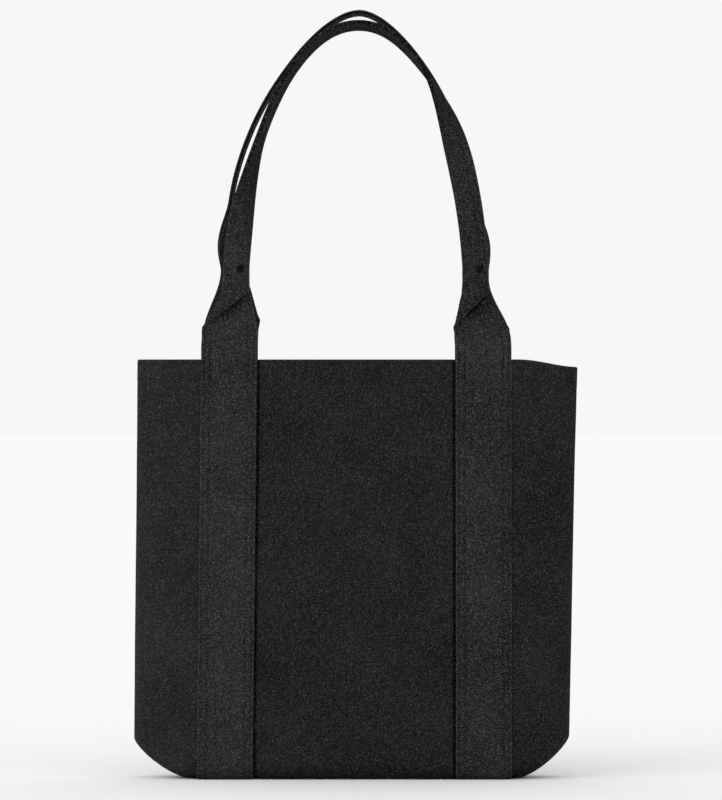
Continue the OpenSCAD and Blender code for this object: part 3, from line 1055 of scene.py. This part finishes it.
def weave_material(name, colour, pitch, contrast, slub):
    """Plain-woven canvas: crossing threads, slubs, pale flecks, uneven dye, worn edges, and
    painted shade and painted light from a point attribute.
    """
    n = Nodes(name)
    cloth = n.attribute("cloth").outputs["Vector"]
    split = n.tree.nodes.new("ShaderNodeSeparateXYZ")
    n.link(n.scaled(cloth, (math.pi / pitch, math.pi / pitch, 1)), split.inputs[0])
    warp = n.math("SINE", split.outputs[0])
    weft = n.math("SINE", split.outputs[1])
    crossing = n.math("MULTIPLY", warp, weft)
    warp_slub = n.noise(n.scaled(cloth, (0.8 / pitch, 0.11 / pitch, 1)), 1.0, 1.0, 0.5)
    weft_slub = n.noise(n.scaled(cloth, (0.11 / pitch, 0.8 / pitch, 1)), 1.0, 1.0, 0.5)
    warp_slub = n.spread(warp_slub, 0.3, 0.7, -1, 1)
    weft_slub = n.spread(weft_slub, 0.3, 0.7, -1, 1)
    slubs = n.math("ADD", warp_slub, weft_slub)
    grains = n.spread(n.noise(cloth, 0.9 / pitch, 2.0, 0.7), 0.32, 0.68, -1, 1)
    # Each crossing of the threads has its own tone: some are pale flecks, some dark pits.
    knot = n.math("POWER", n.math("ABSOLUTE", crossing), 0.5)
    each = n.squares(cloth, pitch)
    flecks = n.math("MULTIPLY", n.spread(each, 0.74, 1.0, 0, 1), knot)
    pits = n.math("MULTIPLY", n.spread(each, 0.35, 0.0, 0, 1), knot)
    dye = n.spread(n.noise(cloth, 15.0, 3.0, 0.55), 0.3, 0.7, -0.22, 0.22)
    wear = n.attribute("wear").outputs["Fac"]
    tone = n.math("MULTIPLY_ADD", crossing, 0.12 * contrast, 1.0)
    tone = n.math("MULTIPLY_ADD", slubs, slub * contrast, tone)
    tone = n.math("MULTIPLY_ADD", grains, 0.75 * contrast, tone)
    tone = n.math("MULTIPLY_ADD", flecks, 2.9 * contrast, tone)
    tone = n.math("MULTIPLY_ADD", pits, -0.9 * contrast, tone)
    tone = n.math("ADD", tone, dye)
    # The point attribute lightens worn edges, and also carries painted light and painted shade.
    lighter = n.math("MAXIMUM", wear, 0.0)
    darker = n.math("MINIMUM", wear, 0.0)
    tone = n.math("MULTIPLY_ADD", lighter, 0.55, tone)
    tone = n.math("MULTIPLY_ADD", darker, 0.85, tone)
    tone = n.math("MAXIMUM", tone, 0.10)
    n.link(n.tinted(colour, tone), n.shader.inputs["Base Color"])
    n.link(n.spread(grains, -1, 1, 0.84, 0.98), n.shader.inputs["Roughness"])
    n.shader.inputs["Specular IOR Level"].default_value = 0.04
    n.shader.inputs["Sheen Weight"].default_value = 0.015
    n.shader.inputs["Sheen Roughness"].default_value = 0.4
    n.shader.inputs["Sheen Tint"].default_value = (0.92, 0.9, 0.88, 1)
    height = n.math("MULTIPLY_ADD", grains, 0.8, crossing)
    height = n.math("MULTIPLY_ADD", slubs, 0.35, height)
    n.bump(height, 0.8, 0.0003)
    return n.material


def thread_material(name, colour):
    """Twisted sewing thread: a tone for each stitch and a fine twist."""
    n = Nodes(name)
    coordinates = n.tree.nodes.new("ShaderNodeTexCoord").outputs["Object"]
    tone = n.math("MULTIPLY_ADD", n.attribute("tone").outputs["Fac"], 0.6, 1.0)
    twist = n.spread(n.noise(coordinates, 2600.0, 1.0), 0.3, 0.7, -0.25, 0.25)
    tone = n.math("MAXIMUM", n.math("ADD", tone, twist), 0.12)
    n.link(n.tinted(colour, tone), n.shader.inputs["Base Color"])
    n.link(n.spread(twist, -0.25, 0.25, 0.55, 0.75), n.shader.inputs["Roughness"])
    n.shader.inputs["Specular IOR Level"].default_value = 0.04
    n.bump(twist, 0.4, 0.0001)
    return n.material


# Operators -------------------------------------------------------------------------------

FACES = {"front": 1, "back": -1}
GRIDS = {}


def strap_of(face_name):
    if face_name not in GRIDS:
        GRIDS[face_name] = strap_grids(FACES[face_name])
    return GRIDS[face_name]


def bend_at_mouth(piece):
    """Bakes the placement of a piece on the strap into its mesh."""
    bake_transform(piece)


class TOTE_OT_materials(Operator):
    """Make the canvas, tape and thread materials"""

    bl_idname = "tote.materials"
    bl_label = "Materials"

    def execute(self, context):
        colours = context.scene.tote_colours
        weave_material("body canvas", tuple(colours.body_canvas), 0.0010, 1.0, 0.12)
        weave_material("strap canvas", tuple(colours.strap_canvas), 0.0010, 1.0, 0.14)
        weave_material("binding tape", tuple(colours.tape), 0.0006, 0.4, 0.1)
        thread_material("sewing thread", tuple(colours.thread))
        return {"FINISHED"}


class TOTE_OT_body(Operator):
    """Sew the body's two cut pieces, with the turned hem at the mouth"""

    bl_idname = "tote.body"
    bl_label = "Body cloth"

    def execute(self, context):
        shared = {
            "front": ["left_side", "left_corner", "left_hem", "base_panel"],
            "back": ["right_side", "right_corner", "right_hem"],
        }
        for face_name, face in FACES.items():
            cloth = sew_half(face_name + "_cloth", face)
            nodes = [face_name + "_panel", face_name + "_hem"] + shared[face_name]
            finish_piece(cloth, "body canvas", nodes)
            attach(cloth, "bag")
        return {"FINISHED"}


class TOTE_OT_straps(Operator):
    """Sew on the two full-length straps, which fold in half above the mouth as handles"""

    bl_idname = "tote.straps"
    bl_label = "Straps and handles"

    def execute(self, context):
        base = {"front": "left_base_strap", "back": "right_base_strap"}
        for face_name, face in FACES.items():
            strap = sew_strap(face_name + "_strap", face, strap_of(face_name))
            nodes = [face_name + end for end in
                     ("_left_strap", "_right_strap", "_left_leg", "_right_leg", "_handle")]
            finish_piece(strap, "strap canvas", nodes + [base[face_name]])
            bend_at_mouth(strap)
        return {"FINISHED"}


class TOTE_OT_stitching(Operator):
    """Stitch the straps, the boxed crosses, the hem and the handles"""

    bl_idname = "tote.stitching"
    bl_label = "Stitching"

    def execute(self, context):
        makers = [
            (stitch_walls, "_strap_thread", "_strap_stitching"),
            (stitch_crosses, "_cross_thread", "_cross_stitching"),
            (stitch_handle, "_handle_thread", "_handle_stitching"),
            (stitch_bars, "_fold_bars", "_bartacks"),
        ]
        for face_name, face in FACES.items():
            for stitch, ending, node in makers:
                thread = stitch(face, strap_of(face_name)).make(face_name + ending, face)
                finish_piece(thread, "sewing thread", [face_name + node])
                bend_at_mouth(thread)
        row = stitch_mouth().make("mouth_thread", 1)
        finish_piece(row, "sewing thread", ["mouth_stitching"])
        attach(row, "bag")
        return {"FINISHED"}


class TOTE_OT_tapes(Operator):
    """Bind the inside seams at the sides and the bottom corners with tape"""

    bl_idname = "tote.tapes"
    bl_label = "Binding tapes"

    def execute(self, context):
        for side_name, side in (("left", -1), ("right", 1)):
            line = side_seam_line(side)
            along_y = np.tile([0, 1.0, 0], (len(line), 1))
            off = np.tile([-side, 0, 0.0], (len(line), 1))
            seam = ribbon(side_name + "_seam_tape", line, along_y, off, 4.6, 1.2, 50 + side)
            finish_piece(seam, "binding tape", [side_name + "_seam_binding"])
            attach(seam, "bag")
            y = np.arange(-24, 24.1, 2.0)
            low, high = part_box(side_name + "_corner_binding")
            x = (low[0] + high[0]) / 2 / MM - side * 6
            middles = np.stack([np.full_like(y, x), y, np.full_like(y, 4.8)], -1)
            middles[:, 2] += 0.35 * np.abs(y / 24) ** 4 * 6
            along_x = np.tile([1.0, 0, 0], (len(y), 1))
            up = np.tile([0, 0, 1.0], (len(y), 1))
            corner = ribbon(side_name + "_corner_tape", middles, along_x, up, 4.2, 1.2, 60 + side)
            finish_piece(corner, "binding tape", [side_name + "_corner_binding"])
            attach(corner, "bag")
        return {"FINISHED"}


# Brightness of the room's light, and of the backdrop past the floor, which is a little darker
# than the lit floor. The sun is wide, so its shadows are soft.
ROOM_LIGHT = 0.88
BACKDROP = 0.93
FLOOR_TONE = 0.93
KEY_LIGHT = 1.1
KEY_TOWARD = (0.82, 0.42, -0.40)


class TOTE_OT_stage(Operator):
    """Lay the pale floor, hang the soft lights and place the camera"""

    bl_idname = "tote.stage"
    bl_label = "Stage"

    def execute(self, context):
        scene = context.scene
        self.lay_floor()
        self.light(scene)
        self.place_camera(scene)
        return {"FINISHED"}

    def lay_floor(self):
        reach = 40000.0
        corners = [(-reach, -reach, 0), (reach, -reach, 0), (reach, reach, 0), (-reach, reach, 0)]
        floor = make_mesh("floor", corners, [(0, 1, 2, 3)])
        n = Nodes("pale floor")
        matt = n.tree.nodes.new("ShaderNodeBsdfDiffuse")
        matt.inputs["Color"].default_value = (FLOOR_TONE, FLOOR_TONE, FLOOR_TONE, 1)
        n.link(matt.outputs[0], n.out.inputs[0])
        n.tree.nodes.remove(n.shader)
        floor.data.materials.append(n.material)

    def light(self, scene):
        scene.view_settings.view_transform = "Standard"
        world = bpy.data.worlds.new("soft studio")
        scene.world = world
        world.use_nodes = True
        tree = world.node_tree
        background = tree.nodes["Background"]
        seen = tree.nodes.new("ShaderNodeLightPath")
        brightness = tree.nodes.new("ShaderNodeMapRange")
        brightness.inputs["To Min"].default_value = ROOM_LIGHT
        brightness.inputs["To Max"].default_value = BACKDROP
        tree.links.new(seen.outputs["Is Camera Ray"], brightness.inputs[0])
        tree.links.new(brightness.outputs[0], background.inputs["Strength"])
        background.inputs["Color"].default_value = (1.0, 0.998, 0.994, 1)
        key = bpy.data.lights.new("key", "SUN")
        key.energy = KEY_LIGHT
        key.angle = math.radians(75)
        lamp = bpy.data.objects.new("key", key)
        lamp.rotation_euler = Vector(KEY_TOWARD).to_track_quat("-Z", "Y").to_euler()
        scene.collection.objects.link(lamp)

    def place_camera(self, scene):
        away, seen_height = 4.0, 0.688
        camera = bpy.data.cameras.new("camera")
        camera.sensor_width = 36.0
        camera.lens = camera.sensor_width * away / seen_height
        camera.clip_end = 200.0
        stand = bpy.data.objects.new("camera", camera)
        stand.location = (0.004, -away - 0.02, 0.326)
        stand.rotation_euler = (math.radians(90), 0, 0)
        scene.collection.objects.link(stand)
        scene.camera = stand


class TOTE_PT_panel(Panel):
    """Lists the bag's sizes, colours and pieces"""

    bl_label = "Canvas Tote Bag"
    bl_idname = "TOTE_PT_panel"
    bl_space_type = "VIEW_3D"
    bl_region_type = "UI"
    bl_category = "Tote"

    def draw(self, context):
        layout = self.layout
        for group in (context.scene.tote_sizes, context.scene.tote_colours):
            box = layout.box()
            for label in group.__annotations__:
                box.prop(group, label)
        for piece in PIECES:
            layout.operator(piece.bl_idname)


PIECES = (
    TOTE_OT_materials, TOTE_OT_body, TOTE_OT_straps, TOTE_OT_stitching, TOTE_OT_tapes,
    TOTE_OT_stage,
)
CLASSES = (ToteSizes, ToteColours) + PIECES + (TOTE_PT_panel,)


def register():
    for cls in CLASSES:
        bpy.utils.register_class(cls)
    bpy.types.Scene.tote_sizes = PointerProperty(type=ToteSizes)
    bpy.types.Scene.tote_colours = PointerProperty(type=ToteColours)


def unregister():
    del bpy.types.Scene.tote_colours
    del bpy.types.Scene.tote_sizes
    for cls in reversed(CLASSES):
        bpy.utils.unregister_class(cls)


def main():
    register()
    bpy.ops.tote.materials()
    bpy.ops.tote.body()
    bpy.ops.tote.straps()
    bpy.ops.tote.stitching()
    bpy.ops.tote.tapes()
    bpy.ops.tote.stage()


if __name__ == "__main__":
    main()
